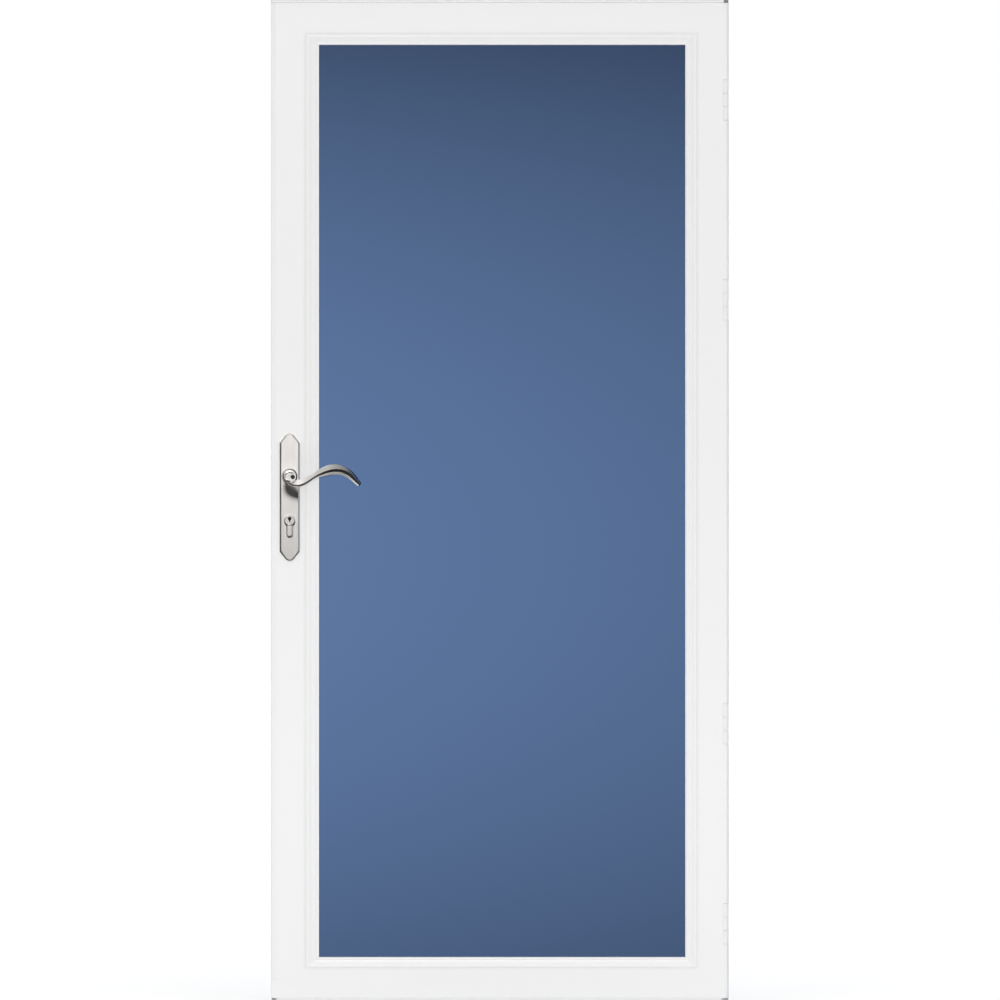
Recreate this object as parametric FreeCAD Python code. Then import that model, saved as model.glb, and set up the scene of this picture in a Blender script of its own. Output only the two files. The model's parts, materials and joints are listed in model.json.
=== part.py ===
import FreeCAD, Part
import math
import os

# Full-view aluminium storm door in its frame, closed, seen from outside along +Y.
# Millimetres. x = 0 is the hinge jamb's outer face, z = 0 the sill, y = 0 the middle of the leaf.

# Opening that the frame fills
FRAME_W = 914.0
FRAME_H = 2032.0

# Jambs and head bar, thin extrusions
JAMB_WALL = 2.0
STOP_OVERLAP = 8.0
STOP_GAP = 5.0
STOP_HEM = 6.0
HEAD_NOSE_H = 27.0
HEAD_NOSE_PROUD = 5.0
DRIP_KICK = 4.0
SEAL_W = 4.5
SEAL_EDGE = 1.5
SEAL_GAP = 0.5
SEAL_RISE = 5.0
SEAL_FIT = 0.2
SEAL_RIB_T = 1.0
SEAL_RIB_H = 1.6

# Leaf
LEAF_T = 38.0
LEAF_BOTTOM = 14.0
LATCH_GAP = 8.0
HEAD_GAP = 5.0
LATCH_STILE_FACE = 56.5
HINGE_STILE_FACE = 59.0
BOTTOM_RAIL_FACE = 57.3
TOP_RAIL_FACE = 59.5
EDGE_R = 1.5
TUBE_WALL = 1.6
LIP_W = 9.0
LIP_T = 2.2
LIP_SLOPE = 3.0
LIP_GAP = 5.0

# Glazing
BEAD_W = 24.0
BEAD_GROOVE_W = 3.5
BEAD_GROOVE_D = 2.0
BEAD_CREST = 1.8
BEAD_CREST_W = 6.5
BEAD_ROUND = 1.2
BEAD_SAG = 0.7
BEAD_LIP_W = 6.0
BEAD_LIP_RISE = 0.8
BEAD_EDGE_H = 13.5
BEAD_WALL = 1.6
LATCH_STRIP_W = 5.0
HINGE_STRIP_W = 2.0
STRIP_DROP = 2.0
GLASS_T = 4.0
GLASS_EDGE_COVER = 18.0
GASKET_T = 1.0
GASKET_W = 4.0
GASKET_SETBACK = 1.0
RETAINER_W = 18.0
RETAINER_SETBACK = 3.0
RETAINER_EDGE_H = 3.0
RETAINER_FLAT_W = 4.0
RETAINER_BULGE = 2.0
RETAINER_WALL = 1.5

# Bottom expander and sweep
EXPANDER_H = 36.0
EXPANDER_WALL = 1.5
EXPANDER_SLACK = 2.5
EXPANDER_FIT = 0.2
EXPANDER_SLOT_W = 5.0
EXPANDER_SLOT_H = 16.0
EXPANDER_SLOT_INSET = 110.0
SWEEP_BASE_W = 24.0
SWEEP_BASE_H = 3.0
SWEEP_FIN_T = 2.5
SWEEP_SILL_GAP = 2.0

# Hinges
HINGE_H = 80.0
HINGE_R = 6.0
HINGE_PIN_R = 2.5
HINGE_PIN_FIT = 0.05
HINGE_PLATE_T = 2.0
HINGE_PLATE_D = 24.0
HINGE_AXIAL_GAP = 0.6
HINGE_NOTCH_GAP = 0.6
HINGE_TURN_GAP = 0.5
NOSE_GAP = 5.0
HINGE_FOOT = 144.0
HINGE_HEAD = 194.0
HINGE_PITCH = 399.0

# Handle set
BACKSET = 27.5
LEVER_Z = 1055.0
KEY_DROP = 88.0
PLATE_W = 40.0
INSIDE_PLATE_W = 29.0
PLATE_TOP = 67.0
PLATE_FOOT = 150.0
PLATE_END = 19.0
PLATE_T = 8.0
PLATE_EDGE = 3.2
PLATE_TIP = 0.55
LEVER_REACH = 50.0
LEVER_T = 11.0
LEVER_EDGE_T = 5.0
LEVER_STEP = 0.75
LEVER_SPARE = 1.0
LEVER_HUB_R = 13.5
LEVER_HUB_RIM = 1.0
LEVER_NECK_R = 9.0
LEVER_FIT = 0.5
DIMPLE_R = 2.9
DIMPLE_D = 4.0
DIMPLE_OUT = 5.4
DIMPLE_UP = -0.8
SPINDLE_W = 8.0
SPINDLE_ROOM = 11.0
KEY_COLLAR_R = 10.5
KEY_COLLAR_W = 13.0
KEY_COLLAR_DROP = 34.5
KEY_COLLAR_T = 2.6
KEY_COLLAR_EDGE = 1.8
KEY_R = 8.0
KEY_W = 8.5
KEY_FOOT = 31.0
KEY_PROUD = 3.5
KEY_FIT = 0.2
KEY_HOLE_R = 3.6
KEY_HOLE_UP = 3.4
KEY_HOLE_D = 5.0
KEY_SLOT_W = 2.6
KEY_SLOT_FOOT = 3.0
TURN_R = 7.0
TURN_STEM = 10.0
TURN_WING = 12.0
TURN_W = 24.0
TURN_T = 5.0
LATCH_PLATE_W = 20.0
LATCH_PLATE_H = 190.0
LATCH_PLATE_T = 2.5
LATCH_PLATE_FIT = 0.2
BOLT_W = 12.0
BOLT_H = 20.0
BOLT_BEVEL = 6.0
BOLT_PLAY = 2.0
STRIKE_T = 1.5
STRIKE_W = 20.0

# Fixing screws through the frame
SCREW_R = 2.5
SCREW_Y = 10.0
SCREW_FOOT = 80.0
SCREW_HEAD = 92.0
JAMB_SCREW_COUNT = 4
HEAD_SCREW_INSET = 154.0

# Planes worked out from the sizes above
FRONT = -LEAF_T / 2
BACK = LEAF_T / 2
FRAME_LEFT = -FRAME_W
LEAF_LEFT = FRAME_LEFT + JAMB_WALL + LATCH_GAP
LEAF_RIGHT = -JAMB_WALL
LEAF_TOP = FRAME_H - HEAD_NOSE_H - HEAD_GAP
TUBE_BOTTOM = LEAF_BOTTOM + EXPANDER_WALL + EXPANDER_SLACK
PIN_X = LEAF_RIGHT - HINGE_R
PIN_Y = FRONT + HINGE_R
EDGE_X = PIN_X - HINGE_R
STOP_FRONT = BACK + EXPANDER_FIT + EXPANDER_WALL + STOP_GAP + SEAL_RIB_H
STOP_BACK = STOP_FRONT + JAMB_WALL
LIP_FRONT = FRONT + LIP_SLOPE
LIP_BACK = LIP_FRONT + LIP_T
LIP_LEFT = LEAF_LEFT - LIP_W
LATCH_JAMB_FRONT = LIP_BACK + LIP_GAP
HINGE_JAMB_FRONT = PIN_Y + math.sqrt((HINGE_R + NOSE_GAP) ** 2 - HINGE_R ** 2)
LATCH_STOP_EDGE = LEAF_LEFT + STOP_OVERLAP
HINGE_STOP_EDGE = EDGE_X - STOP_OVERLAP
HEAD_STOP_EDGE = LEAF_TOP - STOP_OVERLAP
LOW_HINGE = TUBE_BOTTOM + HINGE_FOOT
HIGH_HINGE = LEAF_TOP - HINGE_HEAD
HINGE_HEIGHTS = (LOW_HINGE, LOW_HINGE + HINGE_PITCH, HIGH_HINGE - HINGE_PITCH, HIGH_HINGE)
GLASS_FRONT = -GLASS_T / 2
GLASS_BACK = GLASS_T / 2
BEAD_BACK = GLASS_FRONT - GASKET_T
RETAINER_FRONT = GLASS_BACK + GASKET_T
HANDLE_X = LEAF_LEFT + BACKSET
KEY_Z = LEVER_Z - KEY_DROP
LATCH_MID_Z = (LEVER_Z + KEY_Z) / 2
PLATE_FRONT = FRONT - PLATE_T

# Rectangles in the plane of the leaf: left, right, bottom, top
LEAF_RECT = (LEAF_LEFT, LEAF_RIGHT, TUBE_BOTTOM, LEAF_TOP)
BEAD_RECT = (LEAF_LEFT + LATCH_STILE_FACE, LEAF_RIGHT - HINGE_STILE_FACE,
             LEAF_BOTTOM + BOTTOM_RAIL_FACE, LEAF_TOP - TOP_RAIL_FACE)
BEAD_WIDTHS = {"latch": BEAD_W + LATCH_STRIP_W, "hinge": BEAD_W + HINGE_STRIP_W,
               "bottom": BEAD_W, "top": BEAD_W}
SIGHT_RECT = (BEAD_RECT[0] + BEAD_WIDTHS["latch"], BEAD_RECT[1] - BEAD_WIDTHS["hinge"],
              BEAD_RECT[2] + BEAD_WIDTHS["bottom"], BEAD_RECT[3] - BEAD_WIDTHS["top"])

SIDES = ("latch", "hinge", "bottom", "top")
CLEAR = 60.0


def box(x0, x1, y0, y1, z0, z1):
    corner = FreeCAD.Vector(x0, y0, z0)
    return Part.makeBox(x1 - x0, y1 - y0, z1 - z0, corner)


def plan(z):
    return lambda a, b: FreeCAD.Vector(a, b, z)


def front(y):
    return lambda a, b: FreeCAD.Vector(a, y, b)


def side(x):
    return lambda a, b: FreeCAD.Vector(x, a, b)


def outline(points, place):
    """Closed wire; an entry made of two points is an arc by way of the first one."""
    edges = []
    last = points[0]
    for entry in points[1:]:
        if isinstance(entry[0], tuple):
            middle, end = entry
            arc = Part.Arc(place(*last), place(*middle), place(*end))
            edges.append(arc.toShape())
        else:
            end = entry
            edges.append(Part.makeLine(place(*last), place(*end)))
        last = end
    if place(*last).distanceToPoint(place(*points[0])) > 1e-6:
        edges.append(Part.makeLine(place(*last), place(*points[0])))
    return Part.Wire(edges)


def prism(points, place, along):
    return Part.Face(outline(points, place)).extrude(FreeCAD.Vector(*along))


def rod(radius, x, y, z0, z1):
    foot = FreeCAD.Vector(x, y, z0)
    return Part.makeCylinder(radius, z1 - z0, foot, FreeCAD.Vector(0, 0, 1))


def shaft(radius, x, z, y0, y1):
    foot = FreeCAD.Vector(x, y0, z)
    return Part.makeCylinder(radius, y1 - y0, foot, FreeCAD.Vector(0, 1, 0))


def inset(rect, amount):
    left, right, bottom, top = rect
    return (left + amount, right - amount, bottom + amount, top - amount)


def mitre(name, outer, inner):
    """Block of one side of a frame, cut from the outer corners to the inner ones."""
    ol, oright, ob, ot = outer
    il, iright, ib, it = inner
    corners = {
        "latch": [(ol, ob), (ol, ot), (il, it), (il, ib)],
        "hinge": [(oright, ob), (oright, ot), (iright, it), (iright, ib)],
        "bottom": [(ol, ob), (oright, ob), (iright, ib), (il, ib)],
        "top": [(ol, ot), (oright, ot), (iright, it), (il, it)],
    }[name]
    return prism(corners, front(-CLEAR), (0, 2 * CLEAR, 0))


def run(name, rect, section):
    """Section in (distance in from the rectangle's side, y), drawn along that side."""
    left, right, bottom, top = rect
    if name == "latch":
        return prism(section, lambda u, y: FreeCAD.Vector(left + u, y, bottom), (0, 0, top - bottom))
    if name == "hinge":
        return prism(section, lambda u, y: FreeCAD.Vector(right - u, y, bottom), (0, 0, top - bottom))
    if name == "bottom":
        return prism(section, lambda u, y: FreeCAD.Vector(left, y, bottom + u), (right - left, 0, 0))
    return prism(section, lambda u, y: FreeCAD.Vector(left, y, top - u), (right - left, 0, 0))


def rectangle(u0, u1, y0, y1):
    return [(u0, y0), (u1, y0), (u1, y1), (u0, y1)]


def leaf_envelope():
    """Plan of the leaf: overlapping lip on the latch edge, round nose on the hinge edge."""
    ease = EDGE_R * (1 - math.sqrt(0.5))
    points = [
        (LEAF_LEFT + EDGE_R, BACK),
        ((LEAF_LEFT + ease, BACK - ease), (LEAF_LEFT, BACK - EDGE_R)),
        (LEAF_LEFT, LIP_BACK),
        (LIP_LEFT, LIP_BACK),
        (LIP_LEFT, LIP_FRONT),
        (LEAF_LEFT, FRONT),
        (PIN_X, FRONT),
        ((PIN_X + HINGE_R, PIN_Y), (PIN_X, PIN_Y + HINGE_R)),
        (EDGE_X, PIN_Y + HINGE_R),
        (EDGE_X, BACK - EDGE_R),
        ((EDGE_X - ease, BACK - ease), (EDGE_X - EDGE_R, BACK)),
    ]
    return prism(points, plan(TUBE_BOTTOM), (0, 0, LEAF_TOP - TUBE_BOTTOM))


def hinge_notches():
    """Room in the nose for each hinge barrel, bevelled at the front so that the face stays whole."""
    room = HINGE_R + HINGE_TURN_GAP
    bevel = room * math.tan(math.radians(22.5))
    points = [
        (PIN_X - bevel, PIN_Y - room),
        (PIN_X - room, PIN_Y - bevel),
        (PIN_X - room, PIN_Y + room),
        (PIN_X + room, PIN_Y + room),
        (PIN_X + room, PIN_Y - room),
    ]
    length = HINGE_H + 2 * HINGE_NOTCH_GAP
    return [prism(points, plan(height - length / 2), (0, 0, length)) for height in HINGE_HEIGHTS]


def latch_cuts():
    """Openings milled in the latch stile for the spindle, the key cylinder and the edge plate."""
    half_w = LATCH_PLATE_W / 2 + LATCH_PLATE_FIT
    half_h = LATCH_PLATE_H / 2 + LATCH_PLATE_FIT
    key_half = KEY_R + KEY_FIT
    return [
        box(HANDLE_X - SPINDLE_ROOM, HANDLE_X + SPINDLE_ROOM, -CLEAR, CLEAR,
            LEVER_Z - SPINDLE_ROOM, LEVER_Z + SPINDLE_ROOM),
        box(HANDLE_X - key_half, HANDLE_X + key_half, -CLEAR, CLEAR,
            KEY_Z - KEY_FOOT - KEY_FIT, KEY_Z + key_half),
        box(LEAF_LEFT - 1, LEAF_LEFT + LATCH_PLATE_T, -half_w, half_w,
            LATCH_MID_Z - half_h, LATCH_MID_Z + half_h),
    ]


def leaf_tubes():
    widths = {"latch": LATCH_STILE_FACE, "hinge": HINGE_STILE_FACE,
              "bottom": BEAD_RECT[2] - TUBE_BOTTOM, "top": TOP_RAIL_FACE}
    start = {"latch": TUBE_WALL, "hinge": 2 * HINGE_R + TUBE_WALL,
             "bottom": TUBE_WALL, "top": TUBE_WALL}
    envelope = leaf_envelope()
    names = {"latch": "latch_stile", "hinge": "hinge_stile", "bottom": "bottom_rail", "top": "top_rail"}
    tubes = {}
    for name in SIDES:
        block = mitre(name, LEAF_RECT, BEAD_RECT)
        if name == "latch":
            lip = box(LIP_LEFT, LEAF_LEFT, FRONT, BACK, TUBE_BOTTOM, LEAF_TOP)
            block = block.fuse(lip)
        section = rectangle(start[name], widths[name] - TUBE_WALL, FRONT + TUBE_WALL, BACK - TUBE_WALL)
        tube = envelope.common(block).cut(run(name, LEAF_RECT, section))
        if name == "latch":
            tube = tube.cut(latch_cuts())
        if name == "hinge":
            tube = tube.cut(hinge_notches())
        tubes[names[name]] = tube.removeSplitter()
    return tubes


def bar(name, rect, inner, section, hollow=None):
    """One mitred side of a frame, with a hollow right through it where one is given."""
    block = mitre(name, rect, inner)
    shape = run(name, rect, section)
    if hollow:
        shape = shape.cut(run(name, rect, hollow))
    return shape.common(block).Solids[0]


def bead_section(strip):
    """Outer glazing bead: groove, round crest, slope to a lip, and a stepped strip where there is one."""
    crest = FRONT - BEAD_CREST
    floor = FRONT + BEAD_GROOVE_D
    edge = BEAD_BACK - BEAD_EDGE_H
    crest_u = BEAD_GROOVE_W + BEAD_CREST_W / 2
    slope_u = BEAD_GROOVE_W + BEAD_CREST_W
    lip_u = BEAD_W - BEAD_LIP_W
    slope_y = crest + BEAD_ROUND
    step = edge + STRIP_DROP
    points = [
        (0.0, BEAD_BACK),
        (0.0, floor),
        (BEAD_GROOVE_W, floor),
        (BEAD_GROOVE_W, crest + BEAD_ROUND),
        ((crest_u, crest), (slope_u, slope_y)),
        (((slope_u + lip_u) / 2, (slope_y + edge) / 2 + BEAD_SAG), (lip_u, edge + BEAD_LIP_RISE)),
        ((BEAD_W - BEAD_LIP_W / 2, edge - BEAD_LIP_RISE), (BEAD_W, edge + BEAD_LIP_RISE)),
    ]
    if strip:
        points.append((BEAD_W, step))
        points.append((BEAD_W + strip, step))
    points.append((BEAD_W + strip, BEAD_BACK))
    hollow = [
        (BEAD_WALL, BEAD_BACK - BEAD_WALL),
        (BEAD_WALL, floor + BEAD_WALL),
        (BEAD_GROOVE_W + BEAD_WALL, floor + BEAD_WALL),
        (BEAD_GROOVE_W + BEAD_WALL, slope_y + BEAD_WALL),
        (slope_u - BEAD_WALL, slope_y + BEAD_WALL),
        (lip_u, edge + BEAD_LIP_RISE + BEAD_WALL),
        (BEAD_W - 2 * BEAD_WALL, edge + BEAD_LIP_RISE + BEAD_WALL),
        (BEAD_W - 2 * BEAD_WALL, BEAD_BACK - BEAD_WALL),
    ]
    return points, hollow


def retainer_section():
    """Inside glazing strip, a thin hollow quarter-round."""
    top = BACK - RETAINER_SETBACK
    shoulder = RETAINER_FRONT + RETAINER_EDGE_H
    middle_u = (RETAINER_W + RETAINER_FLAT_W) / 2
    middle_y = (top + shoulder) / 2
    points = [
        (0.0, RETAINER_FRONT),
        (RETAINER_W, RETAINER_FRONT),
        (RETAINER_W, shoulder),
        ((middle_u, middle_y + RETAINER_BULGE), (RETAINER_FLAT_W, top)),
        (0.0, top),
    ]
    hollow = [
        (RETAINER_WALL, RETAINER_FRONT + RETAINER_WALL),
        (RETAINER_W - 2 * RETAINER_WALL, RETAINER_FRONT + RETAINER_WALL),
        (middle_u - RETAINER_WALL, middle_y),
        (RETAINER_FLAT_W, top - RETAINER_WALL),
        (RETAINER_WALL, top - RETAINER_WALL),
    ]
    return points, hollow


def glazing():
    parts = {}
    strips = {"latch": LATCH_STRIP_W, "hinge": HINGE_STRIP_W, "bottom": 0.0, "top": 0.0}
    retainer, retainer_hollow = retainer_section()
    retainer_inner = inset(BEAD_RECT, RETAINER_W)
    inner_end = RETAINER_W - GASKET_SETBACK
    inner_strip = rectangle(inner_end - GASKET_W, inner_end, GLASS_BACK, RETAINER_FRONT)
    for name in SIDES:
        bead, bead_hollow = bead_section(strips[name])
        parts["bead_" + name] = bar(name, BEAD_RECT, SIGHT_RECT, bead, bead_hollow)
        parts["retainer_" + name] = bar(name, BEAD_RECT, retainer_inner, retainer, retainer_hollow)
        outer_end = BEAD_WIDTHS[name] - GASKET_SETBACK
        outer_strip = rectangle(outer_end - GASKET_W, outer_end, BEAD_BACK, GLASS_FRONT)
        outer = bar(name, BEAD_RECT, SIGHT_RECT, outer_strip)
        inner = bar(name, BEAD_RECT, retainer_inner, inner_strip)
        parts["gasket_" + name] = Part.makeCompound([outer, inner])
    left, right, bottom, top = inset(BEAD_RECT, BEAD_W - GLASS_EDGE_COVER)
    parts["glass_pane"] = box(left, right, GLASS_FRONT, GLASS_BACK, bottom, top)
    return parts


def expander():
    """Adjustable bottom channel, rounded under the nose, with upright screw slots in the rear wall."""
    outer_front = FRONT - EXPANDER_FIT - EXPANDER_WALL
    outer_back = BACK + EXPANDER_FIT + EXPANDER_WALL
    top = LEAF_BOTTOM + EXPANDER_H
    face = box(LIP_LEFT, PIN_X, outer_front, outer_front + EXPANDER_WALL, LEAF_BOTTOM, top)
    web = box(LEAF_LEFT, EDGE_X, outer_front, outer_back, LEAF_BOTTOM, LEAF_BOTTOM + EXPANDER_WALL)
    link = box(EDGE_X, PIN_X, outer_front, PIN_Y + HINGE_R, LEAF_BOTTOM, LEAF_BOTTOM + EXPANDER_WALL)
    nose = rod(HINGE_R, PIN_X, PIN_Y, LEAF_BOTTOM, TUBE_BOTTOM - EXPANDER_FIT)
    rear = box(LEAF_LEFT, EDGE_X, outer_back - EXPANDER_WALL, outer_back, LEAF_BOTTOM, top)
    half_w = EXPANDER_SLOT_W / 2
    half_h = EXPANDER_SLOT_H / 2
    slot_z = (LEAF_BOTTOM + top) / 2
    places = (LEAF_LEFT + EXPANDER_SLOT_INSET, (LEAF_LEFT + EDGE_X) / 2, EDGE_X - EXPANDER_SLOT_INSET)
    slots = [box(x - half_w, x + half_w, BACK, CLEAR, slot_z - half_h, slot_z + half_h) for x in places]
    return face.fuse([web, link, nose, rear]).cut(slots).removeSplitter()


def sweep():
    top = LEAF_BOTTOM
    base = box(LEAF_LEFT, EDGE_X, -SWEEP_BASE_W / 2, SWEEP_BASE_W / 2, top - SWEEP_BASE_H, top)
    fins = []
    for y in (-SWEEP_BASE_W / 2, SWEEP_BASE_W / 2 - SWEEP_FIN_T):
        fins.append(box(LEAF_LEFT, EDGE_X, y, y + SWEEP_FIN_T, SWEEP_SILL_GAP, top - SWEEP_BASE_H))
    return base.fuse(fins).removeSplitter()


def screw_hole_x(x0, x1, z):
    foot = FreeCAD.Vector(x0, SCREW_Y, z)
    return Part.makeCylinder(SCREW_R, x1 - x0, foot, FreeCAD.Vector(1, 0, 0))


def stop_section(front_y, reach):
    """Web and stop flange in (distance in from the outer face, y), ribbed for the seal and hemmed."""
    seal_end = reach - SEAL_EDGE + SEAL_FIT
    seal_start = reach - SEAL_EDGE - SEAL_W - SEAL_FIT
    rib = STOP_FRONT - SEAL_RIB_H
    return [
        (0.0, front_y),
        (JAMB_WALL, front_y),
        (JAMB_WALL, STOP_FRONT),
        (seal_start - SEAL_RIB_T, STOP_FRONT),
        (seal_start - SEAL_RIB_T, rib),
        (seal_start, rib),
        (seal_start, STOP_FRONT),
        (seal_end, STOP_FRONT),
        (seal_end, rib),
        (seal_end + SEAL_RIB_T, rib),
        (seal_end + SEAL_RIB_T, STOP_FRONT),
        (reach, STOP_FRONT),
        (reach, STOP_BACK + STOP_HEM),
        (reach - JAMB_WALL, STOP_BACK + STOP_HEM),
        (reach - JAMB_WALL, STOP_BACK),
        (0.0, STOP_BACK),
    ]


def screw_heights():
    """Screws spaced evenly along a jamb."""
    step = (FRAME_H - SCREW_HEAD - SCREW_FOOT) / (JAMB_SCREW_COUNT - 1)
    return [SCREW_FOOT + step * number for number in range(JAMB_SCREW_COUNT)]


def bolt_room(x0, x1):
    """Holes that the latch bolt and the dead bolt pass through."""
    half_w = BOLT_W / 2 + BOLT_PLAY / 2
    half_h = BOLT_H / 2 + BOLT_PLAY
    return [box(x0, x1, -half_w, half_w, z - half_h, z + half_h) for z in (LEVER_Z, KEY_Z)]


def jambs():
    latch = stop_section(LATCH_JAMB_FRONT, LATCH_STOP_EDGE - FRAME_LEFT)
    hinge = stop_section(HINGE_JAMB_FRONT, -HINGE_STOP_EDGE)
    up = (0, 0, FRAME_H)
    latch_bar = prism(latch, lambda u, y: FreeCAD.Vector(FRAME_LEFT + u, y, 0.0), up)
    hinge_bar = prism(hinge, lambda u, y: FreeCAD.Vector(-u, y, 0.0), up)
    latch_cut = bolt_room(FRAME_LEFT - 1, FRAME_LEFT + JAMB_WALL + 1)
    for z in screw_heights():
        latch_cut.append(screw_hole_x(FRAME_LEFT - 1, FRAME_LEFT + JAMB_WALL + 1, z))
    hinge_cut = [screw_hole_x(-JAMB_WALL - 1, 1, z) for z in screw_heights()]
    return {
        "latch_jamb": latch_bar.cut(latch_cut),
        "hinge_jamb": hinge_bar.cut(hinge_cut),
        "head_jamb": head_bar(),
    }


def head_bar():
    """Top web and drip nose between the jambs, with a stop between their flanges."""
    nose_front = FRONT - HEAD_NOSE_PROUD
    left = FRAME_LEFT + JAMB_WALL
    right = -JAMB_WALL
    nose_foot = FRAME_H - HEAD_NOSE_H
    section = [
        (nose_front, FRAME_H),
        (STOP_FRONT, FRAME_H),
        (STOP_FRONT, FRAME_H - JAMB_WALL),
        (nose_front + JAMB_WALL, FRAME_H - JAMB_WALL),
        (nose_front + JAMB_WALL, nose_foot + DRIP_KICK),
        (nose_front + JAMB_WALL - DRIP_KICK, nose_foot),
        (nose_front - DRIP_KICK, nose_foot),
        (nose_front, nose_foot + DRIP_KICK),
    ]
    nose = prism(section, side(left), (right - left, 0, 0))
    profile = stop_section(FRONT, FRAME_H - HEAD_STOP_EDGE)
    along = (HINGE_STOP_EDGE - LATCH_STOP_EDGE, 0, 0)
    stop = prism(profile, lambda u, y: FreeCAD.Vector(LATCH_STOP_EDGE, y, FRAME_H - u), along)
    holes = []
    for x in (FRAME_LEFT + HEAD_SCREW_INSET, -HEAD_SCREW_INSET):
        foot = FreeCAD.Vector(x, SCREW_Y, FRAME_H - JAMB_WALL - 1)
        holes.append(Part.makeCylinder(SCREW_R, JAMB_WALL + 2, foot, FreeCAD.Vector(0, 0, 1)))
    return nose.fuse(stop).cut(holes).removeSplitter()


def seals():
    y0 = BACK + SEAL_GAP
    foot = LEAF_BOTTOM + EXPANDER_H + SEAL_RISE
    latch_x = LATCH_STOP_EDGE - SEAL_EDGE
    hinge_x = HINGE_STOP_EDGE + SEAL_EDGE
    head_z = HEAD_STOP_EDGE + SEAL_EDGE
    return {
        "latch_seal": box(latch_x - SEAL_W, latch_x, y0, STOP_FRONT, foot, head_z),
        "hinge_seal": box(hinge_x, hinge_x + SEAL_W, y0, STOP_FRONT, foot, head_z),
        "head_seal": box(LATCH_STOP_EDGE, HINGE_STOP_EDGE, y0, STOP_FRONT, head_z, head_z + SEAL_W),
    }


def hinge(height):
    """Three-knuckle hinge: the frame leaf's outer knuckles hold the pin that the door leaf turns on."""
    z0 = height - HINGE_H / 2
    z3 = height + HINGE_H / 2
    third = HINGE_H / 3
    gap = HINGE_AXIAL_GAP / 2
    bore = rod(HINGE_PIN_R + HINGE_PIN_FIT, PIN_X, PIN_Y, z0 - 1, z3 + 1)
    plate_back = PIN_Y + HINGE_R + HINGE_PLATE_D
    lower = (z0, z0 + third - gap)
    middle = (z0 + third + gap, z3 - third - gap)
    upper = (z3 - third + gap, z3)

    def leaf(x0, x1, spans, others):
        shape = box(x0, x1, PIN_Y, plate_back, z0, z3)
        for a, b in others:
            band = box(x0 - 1, x1 + 1, PIN_Y - 1, PIN_Y + HINGE_R + HINGE_TURN_GAP, a, b)
            shape = shape.cut(band)
        for a, b in spans:
            shape = shape.fuse(rod(HINGE_R, PIN_X, PIN_Y, a, b))
        return shape.removeSplitter()

    wide_middle = (lower[1], upper[0])
    wide_lower = (z0 - 1, middle[0])
    wide_upper = (middle[1], z3 + 1)
    fixed = leaf(LEAF_RIGHT - HINGE_PLATE_T, LEAF_RIGHT, (lower, upper), (wide_middle,))
    moving = leaf(EDGE_X, EDGE_X + HINGE_PLATE_T, (middle,), (wide_lower, wide_upper)).cut(bore)
    pin = rod(HINGE_PIN_R, PIN_X, PIN_Y, *wide_middle)
    return fixed, moving, pin


def hinges():
    parts = {}
    pins = []
    for number, height in enumerate(HINGE_HEIGHTS, start=1):
        fixed, moving, pin = hinge(height)
        parts["hinge_%d_frame_leaf" % number] = fixed
        parts["hinge_%d_door_leaf" % number] = moving
        pins.append(pin)
    parts["hinge_pins"] = Part.makeCompound(pins)
    return parts


def key_body(radius, width, foot, grow, y0, y1):
    """Profile cylinder: a round head with a tongue hanging from it, grown all round."""
    toe_r = width / 2 + grow
    toe_z = KEY_Z - foot + width / 2
    head = shaft(radius + grow, HANDLE_X, KEY_Z, y0, y1)
    tongue = box(HANDLE_X - toe_r, HANDLE_X + toe_r, y0, y1, toe_z, KEY_Z)
    toe = shaft(toe_r, HANDLE_X, toe_z, y0, y1)
    return head.fuse([tongue, toe]).removeSplitter()


def plate_outline(width):
    """Long plate whose ends slope in from the shoulders, tangent to a round tip."""
    half = width / 2
    top = LEVER_Z + PLATE_TOP
    foot = LEVER_Z - PLATE_FOOT
    tip_r = PLATE_TIP * half
    centre = PLATE_END - tip_r
    angle = math.acos(tip_r / math.hypot(half, centre)) - math.atan2(centre, half)
    out = tip_r * math.cos(angle)
    rise = centre + tip_r * math.sin(angle)
    return [
        (HANDLE_X - half, foot),
        (HANDLE_X - half, top),
        (HANDLE_X - out, top + rise),
        ((HANDLE_X, top + PLATE_END), (HANDLE_X + out, top + rise)),
        (HANDLE_X + half, top),
        (HANDLE_X + half, foot),
        (HANDLE_X + out, foot - rise),
        ((HANDLE_X, foot - PLATE_END), (HANDLE_X - out, foot - rise)),
    ]


def edges_at(shape, y):
    """Edges that lie in the plane of a front face."""
    return [edge for edge in shape.Edges if abs(edge.BoundBox.YMax - y) < 1e-6]


def blank_plate(width):
    """Handle plate with a bevelled face and the bore for the lever's neck."""
    plate = prism(plate_outline(width), front(FRONT), (0, -PLATE_T, 0))
    bore = shaft(LEVER_NECK_R + LEVER_FIT, HANDLE_X, LEVER_Z, PLATE_FRONT - 1, FRONT + 1)
    return plate.makeChamfer(PLATE_EDGE, edges_at(plate, PLATE_FRONT)).cut(bore)


def keyed_plate():
    """Outside plate with the raised collar round the key cylinder."""
    collar_front = PLATE_FRONT - KEY_COLLAR_T
    collar = key_body(KEY_COLLAR_R, KEY_COLLAR_W, KEY_COLLAR_DROP, 0.0, collar_front, FRONT)
    collar = collar.makeChamfer(KEY_COLLAR_EDGE, edges_at(collar, collar_front))
    key_bore = key_body(KEY_R, KEY_W, KEY_FOOT, KEY_FIT, -CLEAR, FRONT + 1)
    return blank_plate(PLATE_W).fuse(collar).cut(key_bore).removeSplitter()


def turn_plate():
    """Slimmer inside plate with a round bore for the thumb turn."""
    turn_bore = shaft(TURN_R + KEY_FIT, HANDLE_X, KEY_Z, PLATE_FRONT - 1, FRONT + 1)
    return flipped(blank_plate(INSIDE_PLATE_W).cut(turn_bore))


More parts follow.
